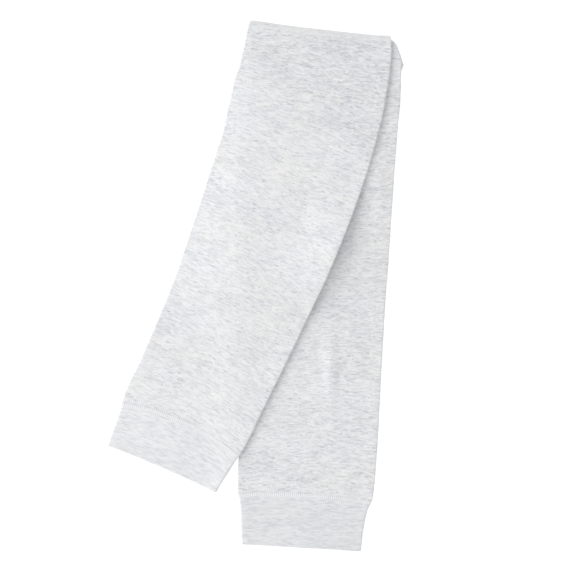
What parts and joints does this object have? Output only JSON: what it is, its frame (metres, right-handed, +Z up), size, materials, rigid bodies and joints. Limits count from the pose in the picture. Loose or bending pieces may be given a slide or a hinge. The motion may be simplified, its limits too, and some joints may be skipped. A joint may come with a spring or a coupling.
{
  "type": "child's thermal leggings, folded and laid flat",
  "caption": "Long knitted thermal leggings with ribbed cuffs, folded in half with the seat turned under and the legs fanned, lying flat.",
  "frame": {"origin": "centre of the bounding box, on the surface that the garment lies on", "axes": "+Z up from that surface, +Y towards the fold at the top, +X towards the side where the under leg shows"},
  "size_m": [0.2664, 0.4772, 0.0207],
  "materials": {
    "knit": "brushed cotton knit, off-white with short pale grey streaks across the leg",
    "rib": "fine rib knit, off-white with faint pale grey streaks",
    "thread": "off-white overlock thread"
  },
  "bodies": {
    "root": {"right_leg": "knit", "left_leg": "knit", "right_cuff": "rib", "left_cuff": "rib", "seat": "knit", "waistband": "rib"}
  },
  "joints": []
}
